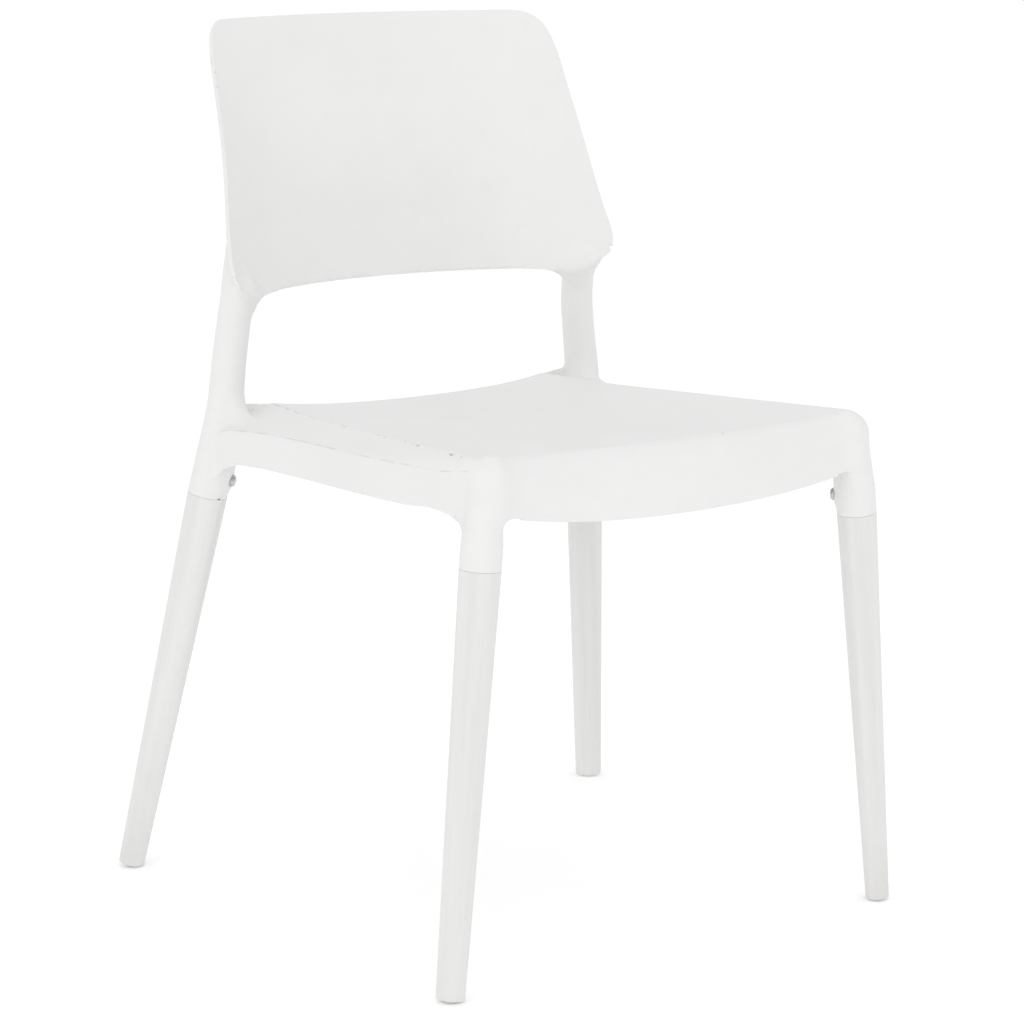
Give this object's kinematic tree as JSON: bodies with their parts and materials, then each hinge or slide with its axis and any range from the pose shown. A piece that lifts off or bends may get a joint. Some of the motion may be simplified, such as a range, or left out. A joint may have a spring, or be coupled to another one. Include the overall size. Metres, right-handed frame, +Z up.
{
  "type": "stacking chair",
  "caption": "Armless stacking chair: one-piece moulded frame with a bent backrest, dished seat pan and tapered splayed legs plugged into sockets.",
  "frame": {"origin": "on the floor, at the centre of the chair's outline seen from above", "axes": "+Z up, the front faces -Y, X = 0 is the plane of symmetry"},
  "size_m": [0.5672, 0.5325, 0.7945],
  "materials": {
    "frame_plastic": "fine satin mould texture, white polypropylene",
    "seat_plastic": "fine satin mould texture, white polypropylene",
    "leg_wood": "white satin lacquer over turned beech, faint grain",
    "insert_metal": "plain",
    "screw_metal": "zinc plated, bright",
    "glide_plastic": "plain, lightly worn"
  },
  "bodies": {
    "root": {"chair_frame": "frame_plastic", "seat_pan": "seat_plastic", "leg_front_left": "leg_wood", "leg_front_right": "leg_wood", "leg_rear_left": "leg_wood", "leg_rear_right": "leg_wood", "leg_insert_front_left": "insert_metal", "leg_insert_front_right": "insert_metal", "leg_insert_rear_left": "insert_metal", "leg_insert_rear_right": "insert_metal", "leg_screw_front_left": "screw_metal", "leg_screw_front_right": "screw_metal", "leg_screw_rear_left": "screw_metal", "leg_screw_rear_right": "screw_metal", "glide_front_left": "glide_plastic", "glide_front_right": "glide_plastic", "glide_rear_left": "glide_plastic", "glide_rear_right": "glide_plastic", "seat_screw_front_left": "screw_metal", "seat_screw_front_right": "screw_metal", "seat_screw_middle_left": "screw_metal", "seat_screw_middle_right": "screw_metal", "seat_screw_rear_left": "screw_metal", "seat_screw_rear_right": "screw_metal"}
  },
  "joints": []
}
